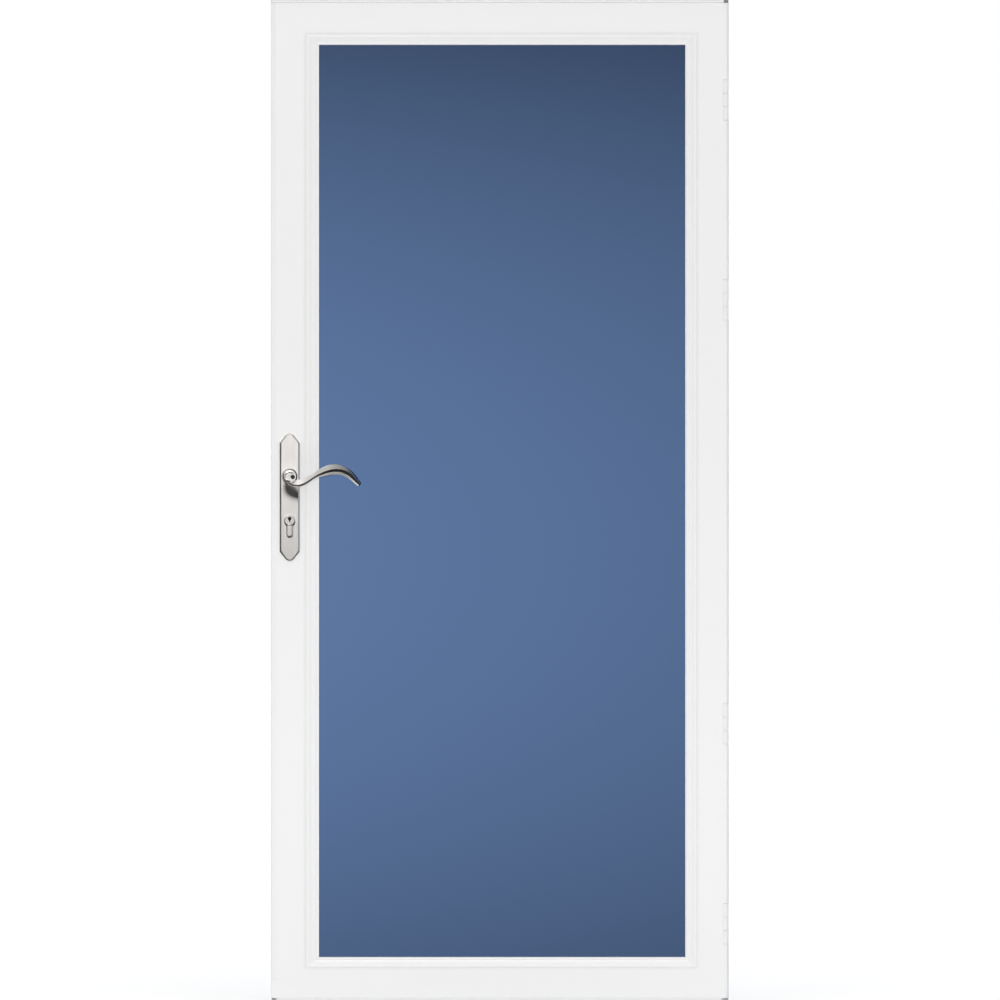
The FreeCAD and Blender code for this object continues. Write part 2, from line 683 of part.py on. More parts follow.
def flipped(shape):
    """The same piece on the inside of the leaf."""
    return shape.mirror(FreeCAD.Vector(0, 0, 0), FreeCAD.Vector(0, 1, 0))


# Lever seen from outside, from its hub's middle: upper edge and lower edge at each station, (out, up),
# then where its ridge and its ledge lie between them
LEVER_STATIONS = (
    ((-4.0, -2.0), (-9.5, -8.5), 0.60, 0.90),
    ((4.0, -7.5), (1.5, -18.0), 0.65, 0.92),
    ((17.0, -7.0), (21.0, -21.2), 0.68, 0.93),
    ((34.0, -2.0), (39.5, -13.0), 0.64, 0.92),
    ((60.0, 14.0), (63.5, -0.8), 0.55, 0.82),
    ((90.0, 23.7), (89.5, 3.3), 0.46, 0.73),
    ((115.0, 16.0), (109.5, 0.4), 0.34, 0.70),
    ((132.5, -0.6), (125.5, -10.0), 0.26, 0.70),
    ((141.3, -13.5), (137.3, -19.0), 0.25, 0.72),
)


def lever_station(upper, lower, ridge, ledge):
    """Six-sided cut through the arm: a ridge, a ledge below it, and some spare behind the flat back."""
    back = FRONT - LEVER_REACH + LEVER_T / 2
    mid = back - LEVER_EDGE_T
    tip = back - LEVER_T

    def between(share):
        return tuple(a + share * (b - a) for a, b in zip(upper, lower))

    spare = back + LEVER_SPARE
    low = tip + LEVER_STEP * (ledge - ridge) * math.dist(upper, lower)
    corners = ((upper, spare), (upper, mid), (between(ridge), tip),
               (between(ledge), low), (lower, low), (lower, spare))
    return Part.makePolygon([FreeCAD.Vector(HANDLE_X + out, y, LEVER_Z + up)
                             for (out, up), y in corners + corners[:1]])


def lever():
    """Curved arm on a round hub, with a dimple where the arm curls into the hub."""
    loft = Part.makeLoft([lever_station(*station) for station in LEVER_STATIONS], True)
    arm_back = FRONT - LEVER_REACH + LEVER_T / 2
    end = HANDLE_X + LEVER_STATIONS[-1][0][0]
    arm = loft.cut(box(HANDLE_X - CLEAR, end + CLEAR, arm_back, FRONT, LEVER_Z - CLEAR, LEVER_Z + CLEAR))
    back = arm_back + LEVER_HUB_RIM
    face_y = FRONT - LEVER_REACH - LEVER_T / 2 - LEVER_HUB_RIM
    neck = shaft(LEVER_NECK_R, HANDLE_X, LEVER_Z, back, PLATE_FRONT + PLATE_T / 2)
    hub = shaft(LEVER_HUB_R, HANDLE_X, LEVER_Z, face_y, back)
    dimple = shaft(DIMPLE_R, HANDLE_X + DIMPLE_OUT, LEVER_Z + DIMPLE_UP, face_y - CLEAR, face_y + DIMPLE_D)
    return hub.fuse([neck, arm]).cut(dimple).removeSplitter()


def thumb_turn(y0):
    """Round stem with a flat wing that has round ends."""
    root = y0 + PLATE_T + TURN_STEM
    tip = root + TURN_WING
    stem = shaft(TURN_R, HANDLE_X, KEY_Z, y0, root)
    half = TURN_W / 2
    knee = (tip - root) / 3
    points = [
        (root, KEY_Z - half / 2),
        (root + knee, KEY_Z - half),
        (tip - knee, KEY_Z - half),
        ((tip, KEY_Z), (tip - knee, KEY_Z + half)),
        (root + knee, KEY_Z + half),
        (root, KEY_Z + half / 2),
    ]
    wing = prism(points, side(HANDLE_X - TURN_T / 2), (TURN_T, 0, 0))
    return stem.fuse(wing)


def latch_and_bolts():
    """Edge plate and the two bolts, both drawn back flush with it."""
    end = LEAF_LEFT + BACKSET - SPINDLE_ROOM
    half_w = BOLT_W / 2
    half_h = BOLT_H / 2
    half_plate = LATCH_PLATE_H / 2
    plate = box(LEAF_LEFT, LEAF_LEFT + LATCH_PLATE_T, -LATCH_PLATE_W / 2, LATCH_PLATE_W / 2,
                LATCH_MID_Z - half_plate, LATCH_MID_Z + half_plate)
    holes = [box(LEAF_LEFT - 1, end, -half_w, half_w, z - half_h, z + half_h) for z in (LEVER_Z, KEY_Z)]
    tongue = [(LEAF_LEFT, -half_w), (LEAF_LEFT + BOLT_BEVEL, half_w), (end, half_w), (end, -half_w)]
    return {
        "latch_plate": plate.cut(holes),
        "latch_bolt": prism(tongue, plan(LEVER_Z - half_h), (0, 0, BOLT_H)),
        "dead_bolt": box(LEAF_LEFT, end, -half_w, half_w, KEY_Z - half_h, KEY_Z + half_h),
    }


def strike():
    """Flat plate on the latch jamb with a keep for each bolt."""
    x0 = FRAME_LEFT + JAMB_WALL
    half = LATCH_PLATE_H / 2
    plate = box(x0, x0 + STRIKE_T, LATCH_JAMB_FRONT, LATCH_JAMB_FRONT + STRIKE_W,
                LATCH_MID_Z - half, LATCH_MID_Z + half)
    return plate.cut(bolt_room(x0 - 1, x0 + STRIKE_T + 1))


def handle_set():
    outer_lever = lever()
    half = SPINDLE_W / 2
    reach = PLATE_FRONT + PLATE_T / 2
    key_front = PLATE_FRONT - KEY_COLLAR_T - KEY_PROUD
    cylinder = key_body(KEY_R, KEY_W, KEY_FOOT, 0.0, key_front, BACK)
    keyhole = key_front + KEY_HOLE_D
    hole_z = KEY_Z + KEY_HOLE_UP
    eye = shaft(KEY_HOLE_R, HANDLE_X, hole_z, key_front - 1, keyhole)
    slot = box(HANDLE_X - KEY_SLOT_W / 2, HANDLE_X + KEY_SLOT_W / 2, key_front - 1, keyhole,
               KEY_Z - KEY_SLOT_FOOT, hole_z)
    parts = {
        "outside_escutcheon": keyed_plate(),
        "inside_escutcheon": turn_plate(),
        "outside_lever": outer_lever,
        "inside_lever": flipped(outer_lever),
        "spindle": box(HANDLE_X - half, HANDLE_X + half, reach, -reach, LEVER_Z - half, LEVER_Z + half),
        "key_cylinder": cylinder.cut([eye, slot]),
        "thumb_turn": thumb_turn(BACK),
        "strike_plate": strike(),
    }
    parts.update(latch_and_bolts())
    return parts


def main():
    parts = {}
    parts.update(jambs())
    parts.update(seals())
    parts.update(leaf_tubes())
    parts.update(glazing())
    parts["bottom_expander"] = expander()
    parts["bottom_sweep"] = sweep()
    parts.update(hinges())
    parts.update(handle_set())
    os.makedirs("parts", exist_ok=True)
    for name, shape in parts.items():
        shape.exportStep("parts/" + name + ".step")
        print(name, len(shape.Solids), round(shape.Volume), shape.isValid())


main()
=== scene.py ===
import json
import math
import random

import bmesh
import bpy
from mathutils import Matrix, Vector


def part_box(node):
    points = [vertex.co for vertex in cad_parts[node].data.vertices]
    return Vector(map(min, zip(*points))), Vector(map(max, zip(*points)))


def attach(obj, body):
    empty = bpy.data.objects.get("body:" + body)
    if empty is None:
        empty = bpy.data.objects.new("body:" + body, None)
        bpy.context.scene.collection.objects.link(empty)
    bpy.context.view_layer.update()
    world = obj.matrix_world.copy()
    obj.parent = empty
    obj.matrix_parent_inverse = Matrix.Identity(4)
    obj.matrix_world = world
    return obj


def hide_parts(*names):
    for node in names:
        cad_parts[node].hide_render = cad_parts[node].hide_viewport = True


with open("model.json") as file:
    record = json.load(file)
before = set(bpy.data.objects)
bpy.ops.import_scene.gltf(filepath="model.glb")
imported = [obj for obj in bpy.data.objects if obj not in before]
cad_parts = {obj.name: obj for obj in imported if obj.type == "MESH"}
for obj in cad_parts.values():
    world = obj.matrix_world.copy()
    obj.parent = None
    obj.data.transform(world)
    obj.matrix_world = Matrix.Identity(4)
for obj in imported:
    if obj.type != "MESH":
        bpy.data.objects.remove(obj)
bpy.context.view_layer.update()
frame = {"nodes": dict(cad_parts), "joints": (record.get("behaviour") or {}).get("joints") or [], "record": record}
random.seed(7)

# Full-view storm door in white enamel, blue glass and satin nickel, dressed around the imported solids.
# Metres, +Z up, outside towards -Y.

MM = 0.001

# Photograph: a level long-lens view, framed in the plane of the leaf's outer face
PHOTO_SPAN = 1.9956
PHOTO_MIDDLE = (-0.457, 1.0078)
LENS = 300.0
SENSOR = 36.0
VIEW_END = 200.0

# Colours, linear
ENAMEL = (0.865, 0.865, 0.868, 1.0)
ENAMEL_WARM = (0.845, 0.84, 0.832, 1.0)
DUST = (0.62, 0.59, 0.54, 1.0)
PANE_BLUE = (0.112, 0.188, 0.361)
NICKEL = (0.80, 0.775, 0.75, 1.0)
NICKEL_DEEP = (0.70, 0.675, 0.65, 1.0)
GRIP = (0.36, 0.355, 0.34, 1.0)
ZINC = (0.66, 0.67, 0.69, 1.0)
ZINC_DEEP = (0.5, 0.51, 0.53, 1.0)
PILE = (0.62, 0.62, 0.63, 1.0)
PILE_DEEP = (0.4, 0.4, 0.41, 1.0)
VINYL = (0.92, 0.92, 0.92, 1.0)
VINYL_DEEP = (0.86, 0.865, 0.87, 1.0)
# Near-black for painted shade: the keyhole floor, the set screws in the hub dimples and the bushes round the lever
# necks
PAINTED_SHADE_BLACK = (0.012, 0.012, 0.012, 1.0)

# Where the finishes change over a piece
DUST_HEIGHT = 0.32
DUST_SHARE = 0.05
# Painted reflection and shade on the pane: palest at this share of its height, darker towards its head, sill and
# hinge side
PANE_PAINTED_PALEST_AT = 0.446
PANE_END_PAINTED_SHADE = 1.84
PANE_HINGE_PAINTED_SHADE = 0.182
GRIP_CLEAN = 48.0 * MM
GRIP_FADE = 36.0 * MM

# Grain along the uprights and along the level bars
ALONG_Z = (1.0, 1.0, 0.01)
ALONG_X = (0.01, 1.0, 1.0)


class Value:
    """A socket of a finish, so that sums on it are written as sums."""

    def __init__(self, finish, socket):
        self.finish = finish
        self.socket = socket

    def math(self, operation, *others):
        sockets = dict(enumerate((self,) + others))
        return self.finish.node("ShaderNodeMath", {"operation": operation}, sockets)

    def __add__(self, other):
        return self.math("ADD", other)

    def __sub__(self, other):
        return self.math("SUBTRACT", other)

    def __rsub__(self, other):
        return self.finish.node("ShaderNodeMath", {"operation": "SUBTRACT"}, {0: other, 1: self})

    def __mul__(self, other):
        return self.math("MULTIPLY", other)

    def __truediv__(self, other):
        return self.math("DIVIDE", other)

    __radd__ = __add__
    __rmul__ = __mul__

    def clamp(self):
        return self.finish.node("ShaderNodeClamp", {}, {"Value": self})


class Finish:
    """A node tree; node() adds any node with its settings and the values or links of its sockets."""

    def __init__(self, tree):
        self.tree = tree

    def node(self, kind, settings, sockets, output=0):
        made = self.tree.nodes.new(kind)
        for key, value in settings.items():
            setattr(made, key, value)
        for key, value in sockets.items():
            self.join(made.inputs[key], value)
        return Value(self, made.outputs[output])

    def join(self, target, value):
        if isinstance(value, Value):
            self.tree.links.new(value.socket, target)
        else:
            target.default_value = value

    def place(self, scale=(1.0, 1.0, 1.0)):
        coords = self.node("ShaderNodeTexCoord", {}, {}, "Object")
        return self.node("ShaderNodeMapping", {}, {"Vector": coords, "Scale": scale})

    def axis(self, letter):
        return self.node("ShaderNodeSeparateXYZ", {}, {"Vector": self.place()}, letter)

    def noise(self, scale, detail=2.0, stretch=(1.0, 1.0, 1.0)):
        sockets = {"Vector": self.place(stretch), "Scale": scale, "Detail": detail}
        return self.node("ShaderNodeTexNoise", {}, sockets)

    def blend(self, share, low, high):
        return self.node("ShaderNodeMix", {"data_type": "RGBA"}, {0: share, 6: low, 7: high}, 2)

    def bump(self, height, distance, strength=1.0):
        sockets = {"Height": height, "Distance": distance, "Strength": strength}
        return self.node("ShaderNodeBump", {}, sockets)


def lever_hub():
    """The point that both levers turn about."""
    joint = next(row for row in frame["joints"] if row["name"] == "lever_turn")
    return Vector(joint["pos_m"])


def material(name, sockets_of):
    """A principled material whose sockets come from a function of its finish."""
    made = bpy.data.materials.new(name)
    made.use_nodes = True
    finish = Finish(made.node_tree)
    shader = made.node_tree.nodes["Principled BSDF"]
    for key, value in sockets_of(finish).items():
        finish.join(shader.inputs[key], value)
    return made


def enamel(stretch):
    """White baked enamel: orange peel, faint draw lines along the bar and a little dust near the sill."""
    def sockets(finish):
        peel = finish.noise(650.0, 2.0)
        lines = finish.noise(220.0, 3.0, stretch)
        cloud = finish.noise(3.0, 3.0)
        low = (1.0 - finish.axis("Z") / DUST_HEIGHT).clamp()
        dust = low * low * finish.noise(28.0, 5.0) * DUST_SHARE
        colour = finish.blend(cloud * 0.5, ENAMEL, ENAMEL_WARM)
        return {
            "Base Color": finish.blend(dust, colour, DUST),
            "Roughness": 0.30 + peel * 0.10 + dust * 0.8,
            "Normal": finish.bump(peel * 0.5 + lines * 0.5, 0.00006),
            "Specular IOR Level": 0.1,
            "Coat Weight": 0.02,
            "Coat Roughness": 0.18,
        }
    return sockets


def pane(finish):
    """Blue sheet with a painted reflection and shade: its colour darkens towards its head and sill and from the
    latch to the hinge side.
    """
    low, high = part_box("glass_pane")
    height = (finish.axis("Z") - low.z) / (high.z - low.z)
    across = (finish.axis("X") - low.x) / (high.x - low.x)
    away = height - PANE_PAINTED_PALEST_AT
    # Painted shade: pale in the middle, darker towards head and sill and towards the hinge side
    painted_shading = (1.0 - away * away * PANE_END_PAINTED_SHADE) * (1.0 - across * PANE_HINGE_PAINTED_SHADE)
    shade = {0: PANE_BLUE, "Scale": painted_shading.clamp()}
    colour = finish.node("ShaderNodeVectorMath", {"operation": "SCALE"}, shade)
    wave = finish.noise(6.0, 1.0, (1.0, 1.0, 0.35))
    return {
        "Base Color": colour,
        "Roughness": 0.02 + finish.noise(9.0, 4.0) * 0.02,
        "Normal": finish.bump(wave, 0.0004),
        "Transmission Weight": 1.0,
        "IOR": 1.25,
    }


def nickel(stretch, grip=False):
    """Satin nickel, brushed along the piece; a grip is darker away from the hub."""
    def sockets(finish):
        brush = finish.noise(300.0, 4.0, stretch)
        wear = finish.noise(14.0, 4.0)
        colour = finish.blend(brush * 0.35 + wear * 0.25, NICKEL, NICKEL_DEEP)
        if grip:
            out = (finish.axis("X") - lever_hub().x - GRIP_CLEAN) / GRIP_FADE
            colour = finish.blend(out.clamp(), colour, GRIP)
        return {
            "Base Color": colour,
            "Metallic": 1.0,
            "Roughness": 0.27 + brush * 0.12 + wear * 0.06,
            "Normal": finish.bump(brush, 0.00003),
        }
    return sockets


def zinc(finish):
    """Zinc-plated steel with a soft spangle."""
    cells = finish.node("ShaderNodeTexVoronoi", {}, {"Vector": finish.place(), "Scale": 220.0}, "Color")
    spangle = finish.node("ShaderNodeSeparateColor", {}, {"Color": cells})
    scratch = finish.noise(400.0, 3.0, (1.0, 1.0, 0.08))
    return {
        "Base Color": finish.blend(spangle * 0.5 + scratch * 0.3, ZINC, ZINC_DEEP),
        "Metallic": 1.0,
        "Roughness": 0.28 + spangle * 0.10 + scratch * 0.12,
        "Normal": finish.bump(scratch, 0.00003),
    }


def pile(finish):
    """Woven pile with upright fibres."""
    fibre = finish.noise(2600.0, 3.0, (1.0, 0.12, 1.0))
    clump = finish.noise(420.0, 3.0)
    return {
        "Base Color": finish.blend(fibre * 0.7 + clump * 0.4, PILE, PILE_DEEP),
        "Roughness": 0.85 + clump * 0.1,
        "Normal": finish.bump(fibre + clump, 0.0004),
        "Sheen Weight": 0.4,
    }


def vinyl(finish):
    """Pale flexible vinyl with extrusion lines."""
    lines = finish.noise(500.0, 2.0, (0.02, 1.0, 1.0))
    cloud = finish.noise(30.0, 3.0)
    return {
        "Base Color": finish.blend(cloud * 0.6 + lines * 0.3, VINYL, VINYL_DEEP),
        "Roughness": 0.42 + cloud * 0.15,
        "Normal": finish.bump(lines, 0.00008),
    }


def painted_shade(finish):
    """Near-black steel that stands in for painted shade: in the keyhole, in the set screws and in the neck bushes.
    """
    film = finish.noise(900.0, 3.0)
    return {
        "Base Color": finish.blend(film * 0.06, PAINTED_SHADE_BLACK, ZINC_DEEP),
        "Roughness": 0.6 + film * 0.2,
        "Specular IOR Level": 0.15,
    }


finishes = {
    "enamel_upright": material("enamel_upright", enamel(ALONG_Z)),
    "enamel_level": material("enamel_level", enamel(ALONG_X)),
    "pane": material("blue_pane", pane),
    "nickel_upright": material("nickel_upright", nickel(ALONG_Z)),
    "nickel_level": material("nickel_level", nickel(ALONG_X)),
    "nickel_grip": material("nickel_grip", nickel(ALONG_X, True)),
    "zinc": material("zinc", zinc),
    "pile": material("pile", pile),
    "vinyl": material("vinyl", vinyl),
    "painted_shade": material("painted_shade_steel", painted_shade),
}

SLOT_FINISH = {
    "white_paint": "enamel_upright",
    "glass": "pane",
    "satin_nickel": "nickel_upright",
    "plain_steel": "zinc",
    "pin_steel": "zinc",
    "pile_seal": "pile",
    "clear_vinyl": "vinyl",
}
LEVEL_NODES = ("head_jamb", "bottom_rail", "top_rail", "bead_bottom", "bead_top",
               "retainer_bottom", "retainer_top", "bottom_expander")
LEVERS = ("outside_lever", "inside_lever")


def dress_nodes():
    """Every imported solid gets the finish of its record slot, with the grain along the piece."""
    for row in frame["record"]["subparts"]:
        name = row["node"]
        finish = SLOT_FINISH[row["material_slot"]]
        if name in LEVEL_NODES:
            finish = "enamel_level"
        if name in LEVERS:
            finish = "nickel_grip"
        solid = frame["nodes"][name]
        solid.data.materials.clear()
        solid.data.materials.append(finishes[finish])


def piece(name, bm, finish, body, smooth=35.0):
    """Turns a bmesh into a finished piece that rides on a body."""
    mesh = bpy.data.meshes.new(name)
    bm.to_mesh(mesh)
    bm.free()
    mesh.materials.append(finishes[finish])
    made = bpy.data.objects.new(name, mesh)
    bpy.context.collection.objects.link(made)
    mesh.shade_smooth()
    mesh.set_sharp_from_angle(angle=math.radians(smooth))
    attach(made, body)
    return made


def facing(at, direction):
    """Matrix that puts a head made on +Z at a point, facing a direction."""
    turn = Vector(direction).to_track_quat("Z", "Y").to_matrix().to_4x4()
    return Matrix.Translation(Vector(at)) @ turn


def drawn(bm, edges, step):
    """Extrudes a loop of edges and moves it; gives the new loop's edges and vertices."""
    geometry = bmesh.ops.extrude_edge_only(bm, edges=edges)["geom"]
    verts = [item for item in geometry if isinstance(item, bmesh.types.BMVert)]
    new_edges = [item for item in geometry if isinstance(item, bmesh.types.BMEdge)]
    bmesh.ops.translate(bm, verts=verts, vec=step)
    loop = [edge for edge in new_edges if all(vert in verts for vert in edge.verts)]
    return loop, verts


SCREW_SIDES = 12
SCREW_TURN = math.radians(15)
CROWN_STEPS = ((1.0, 0.45), (0.86, 0.35), (0.72, 0.2))
CROSS_ARM = 0.46
CROSS_HALF = 0.13
CROSS_SPLIT = 0.2
CROSS_DEPTH = 0.7


def screw_head(bm, at, direction, radius, height):
    """Cross-recessed head: a ring drawn up over the crown, then in and down to a cross-shaped recess."""
    turn = Matrix.Rotation(SCREW_TURN, 4, "Z")
    ring = bmesh.ops.create_circle(bm, cap_ends=True, segments=SCREW_SIDES, radius=radius,
                                   matrix=turn)["verts"]
    made = list(ring)
    edges = list(dict.fromkeys(edge for vert in ring for edge in vert.link_edges))
    for share, rise in CROWN_STEPS:
        edges, ring = drawn(bm, edges, (0, 0, rise * height))
        made += ring
        bmesh.ops.scale(bm, verts=ring, vec=(share, share, 1.0))
    arm = CROSS_ARM * radius
    half = CROSS_HALF * radius
    edges, ring = drawn(bm, edges, (0, 0, 0))
    made += ring
    for vert in ring:
        across = abs(abs(vert.co.x) - abs(vert.co.y)) > CROSS_SPLIT * radius
        long_x = abs(vert.co.x) > abs(vert.co.y)
        vert.co.x = math.copysign(arm if across and long_x else half, vert.co.x)
        vert.co.y = math.copysign(arm if across and not long_x else half, vert.co.y)
    edges, ring = drawn(bm, edges, (0, 0, -CROSS_DEPTH * height))
    made += ring
    bmesh.ops.holes_fill(bm, edges=edges, sides=SCREW_SIDES)
    bmesh.ops.transform(bm, verts=made, matrix=facing(at, direction))


def screws(name, heads, finish, body):
    """One piece that holds all the heads of one kind: (place, direction, radius, height)."""
    bm = bmesh.new()
    for at, direction, radius, height in heads:
        screw_head(bm, at, direction, radius, height)
    bmesh.ops.recalc_face_normals(bm, faces=bm.faces)
    return piece(name, bm, finish, body)


HINGE_COUNT = 4
HINGE_PLATE = 2.0 * MM
HINGE_SCREW_PITCH = 26.0 * MM
HINGE_SCREW_EDGE = 9.0 * MM
SCREW_R = 3.4 * MM
SCREW_H = 1.1 * MM
FLUSH_H = 0.5 * MM
PAN_R = 4.4 * MM
PAN_H = 2.2 * MM


def hinge_screws():
    """Three heads on each hinge plate, in the enamel of the bars."""
    on_frame = []
    on_leaf = []
    for number in range(1, HINGE_COUNT + 1):
        low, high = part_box("hinge_%d_frame_leaf" % number)
        y = high.y - HINGE_SCREW_EDGE
        for step in (-1, 0, 1):
            z = (low.z + high.z) / 2 + step * HINGE_SCREW_PITCH
            on_frame.append(((high.x - HINGE_PLATE, y, z), (-1, 0, 0), SCREW_R, SCREW_H))
            on_leaf.append(((low.x + HINGE_PLATE, y, z), (1, 0, 0), SCREW_R, SCREW_H))
    screws("hinge_frame_screws", on_frame, "enamel_upright", "frame")
    screws("hinge_leaf_screws", on_leaf, "enamel_upright", "leaf")


JAMB_WALL = 2.0 * MM


def jamb_screws():
    """A pan head in each fixing hole of the frame, from the record's bolt patterns."""
    heads = []
    for mount in frame["record"]["mounts"]:
        if mount["kind"] != "bolt_pattern":
            continue
        axis = Vector(mount["axis"])
        dims = mount["dims"]
        spacing = dims.get("spacing_y_mm", 0.0) or dims.get("spacing_x_mm", 0.0)
        line = Vector((1, 0, 0)) if abs(axis.z) > 0.5 else Vector((0, 0, 1))
        for side in (-0.5, 0.5):
            at = Vector(mount["pos_m"]) + line * spacing * MM * side - axis * JAMB_WALL
            heads.append((at, -axis, PAN_R, PAN_H))
    screws("frame_fixing_screws", heads, "zinc", "frame")


LATCH_SCREW_EDGE = 9.0 * MM
PLATE_SCREW_INSET = 20.0 * MM


def lock_screws():
    """Flush heads at the ends of the latch plate, the strike and the inside handle plate."""
    low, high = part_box("latch_plate")
    ends = (low.z + LATCH_SCREW_EDGE, high.z - LATCH_SCREW_EDGE)
    heads = [((low.x, 0.0, z), (-1, 0, 0), SCREW_R, FLUSH_H) for z in ends]
    screws("latch_plate_screws", heads, "zinc", "leaf")
    low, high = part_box("strike_plate")
    heads = [((high.x, (low.y + high.y) / 2, z), (1, 0, 0), SCREW_R, FLUSH_H) for z in ends]
    screws("strike_screws", heads, "zinc", "frame")
    low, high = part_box("inside_escutcheon")
    heads = [(((low.x + high.x) / 2, high.y, z), (0, 1, 0), SCREW_R, FLUSH_H)
             for z in (low.z + PLATE_SCREW_INSET, high.z - PLATE_SCREW_INSET)]
    screws("inside_plate_screws", heads, "nickel_upright", "leaf")


EXPANDER_SLOT_INSET = 110.0 * MM


def expander_screws():
    """Three pan heads on the inside of the expander."""
    low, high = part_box("bottom_sweep")
    expander_low, expander_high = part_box("bottom_expander")
    z = (expander_low.z + expander_high.z) / 2
    places = (low.x + EXPANDER_SLOT_INSET, (low.x + high.x) / 2, high.x - EXPANDER_SLOT_INSET)
    heads = [((x, expander_high.y, z), (0, 1, 0), PAN_R, PAN_H) for x in places]
    screws("expander_screws", heads, "zinc", "leaf")


PILE_STEP = 3.0 * MM
PILE_FRAY = 0.35 * MM
PILE_BACKING = 0.9 * MM
PILE_WIDTH_SHARE = 0.8


def pile_strip(name, node, along):
    """Pile weatherstrip: a flat woven back with frayed upright pile on it."""
    low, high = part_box(node)
    size = high - low
    bm = bmesh.new()
    back = bmesh.ops.create_cube(bm, size=1.0)["verts"]
    bmesh.ops.scale(bm, verts=back, vec=(size.x, PILE_BACKING, size.z))
    bmesh.ops.translate(bm, verts=back,
                        vec=((low.x + high.x) / 2, high.y - PILE_BACKING / 2, (low.z + high.z) / 2))
    fibres = bmesh.ops.create_cube(bm, size=1.0)["verts"]
    scale = Vector((size.x, size.y - PILE_BACKING, size.z))
    across = 2 if along == 0 else 0
    scale[across] *= PILE_WIDTH_SHARE
    bmesh.ops.scale(bm, verts=fibres, vec=scale)
    middle = (low + high) / 2
    middle.y = (low.y + high.y - PILE_BACKING) / 2
    bmesh.ops.translate(bm, verts=fibres, vec=middle)
    long_edges = []
    for edge in bm.edges:
        reach = abs((edge.verts[0].co - edge.verts[1].co)[along])
        if edge.verts[0] in fibres and reach > size[along] / 2:
            long_edges.append(edge)
    bmesh.ops.subdivide_edges(bm, edges=long_edges, cuts=int(size[along] / PILE_STEP), use_grid_fill=True)
    tip = low.y + PILE_FRAY
    for vert in bm.verts:
        if vert.co.y < tip:
            vert.co.y += random.uniform(0.0, 2 * PILE_FRAY)
            vert.co[across] += random.uniform(-PILE_FRAY, PILE_FRAY)
    strip = piece(name, bm, "pile", "frame")
    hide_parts(node)


SWEEP_BASE = 2.4 * MM
SWEEP_FIN = 1.6 * MM
SWEEP_TIP = 0.9 * MM
SWEEP_SIDE_IN = 1.2 * MM
SWEEP_BEND_IN = 1.0 * MM
SWEEP_BEND_UP = 0.55
SWEEP_ROOT_IN = 1.6 * MM


def sweep():
    """Bottom sweep: a vinyl base with two fins that curl out towards the sill."""
    low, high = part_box("bottom_sweep")
    half = (high.y - low.y) / 2
    bm = bmesh.new()
    bend = low.z + SWEEP_BEND_UP * (high.z - low.z)
    under = high.z - SWEEP_BASE
    fin_out = [(half - SWEEP_SIDE_IN, under), (half - SWEEP_BEND_IN, bend), (half, low.z)]
    fin_in = [(half - SWEEP_TIP, low.z), (half - SWEEP_BEND_IN - SWEEP_FIN, bend),
              (half - SWEEP_ROOT_IN - SWEEP_FIN, under)]
    right = [(half - SWEEP_SIDE_IN, high.z)] + fin_out + fin_in
    left = [(-y, z) for y, z in reversed(right)]
    corners = [bm.verts.new((low.x, y, z)) for y, z in right + left]
    face = bm.faces.new(corners)
    drawn_faces = bmesh.ops.extrude_face_region(bm, geom=[face])["geom"]
    end = [item for item in drawn_faces if isinstance(item, bmesh.types.BMVert)]
    bmesh.ops.translate(bm, verts=end, vec=(high.x - low.x, 0, 0))
    bmesh.ops.recalc_face_normals(bm, faces=bm.faces)
    made = piece("sweep_fins", bm, "vinyl", "leaf", 50.0)
    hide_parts("bottom_sweep")


GASKET_W = 4.0 * MM
GASKET_ROUND = 0.4 * MM
GASKET_SETBACK = 1.0 * MM


def gasket_ring(bm, outer, y0, y1):
    """Flat vinyl ring round the glass, from one depth to another."""
    low_x, high_x, low_z, high_z = outer
    corners = [(low_x, low_z), (high_x, low_z), (high_x, high_z), (low_x, high_z)]
    face = bm.faces.new([bm.verts.new((x, y0, z)) for x, z in corners])
    face.normal_update()
    band = bmesh.ops.inset_region(bm, faces=[face], thickness=GASKET_W, use_even_offset=True,
                                  use_boundary=True)["faces"]
    bmesh.ops.delete(bm, geom=[face], context="FACES_ONLY")
    solid = bmesh.ops.extrude_face_region(bm, geom=band)["geom"]
    moved = [item for item in solid if isinstance(item, bmesh.types.BMVert)]
    bmesh.ops.translate(bm, verts=moved, vec=(0, y1 - y0, 0))


def gaskets():
    """Outer and inner rings, set back a little behind the edges of the beads and the retainers."""
    bm = bmesh.new()
    sides = ("latch", "hinge", "bottom", "top")
    pane_low, pane_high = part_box("glass_pane")
    boxes = {side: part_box("gasket_" + side) for side in sides}
    bead = {side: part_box("bead_" + side) for side in sides}
    retainer = {side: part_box("retainer_" + side) for side in sides}
    reach = GASKET_W + GASKET_SETBACK
    outer = (bead["latch"][1].x - reach, bead["hinge"][0].x + reach,
             bead["bottom"][1].z - reach, bead["top"][0].z + reach)
    inner = (retainer["latch"][1].x - reach, retainer["hinge"][0].x + reach,
             retainer["bottom"][1].z - reach, retainer["top"][0].z + reach)
    gasket_ring(bm, outer, boxes["latch"][0].y, pane_low.y)
    gasket_ring(bm, inner, pane_high.y, boxes["latch"][1].y)
    bmesh.ops.recalc_face_normals(bm, faces=bm.faces)
    bmesh.ops.bevel(bm, geom=bm.edges[:], offset=GASKET_ROUND, affect="EDGES", segments=2,
                    profile=0.5, material=-1)
    made = piece("glazing_gaskets", bm, "vinyl", "leaf")
    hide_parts(*["gasket_" + side for side in sides])


SCROLL_START = math.radians(-75)
SCROLL_TURN = math.radians(255)
SCROLL_STEPS = 48
SCROLL_SLACK = 0.01
SCROLL_ROOT = 0.3
SCROLL_GROW = 4.0
SCROLL_TAIL = 0.2
SCROLL_FADE = 2.4
# Radius and height over the hub's face, in millimetres
SCROLL_SECTION = ((13.3, -0.4), (12.2, 0.8), (10.4, 2.4), (8.8, 3.0), (7.9, 2.7), (7.3, 1.4), (7.2, -0.4))


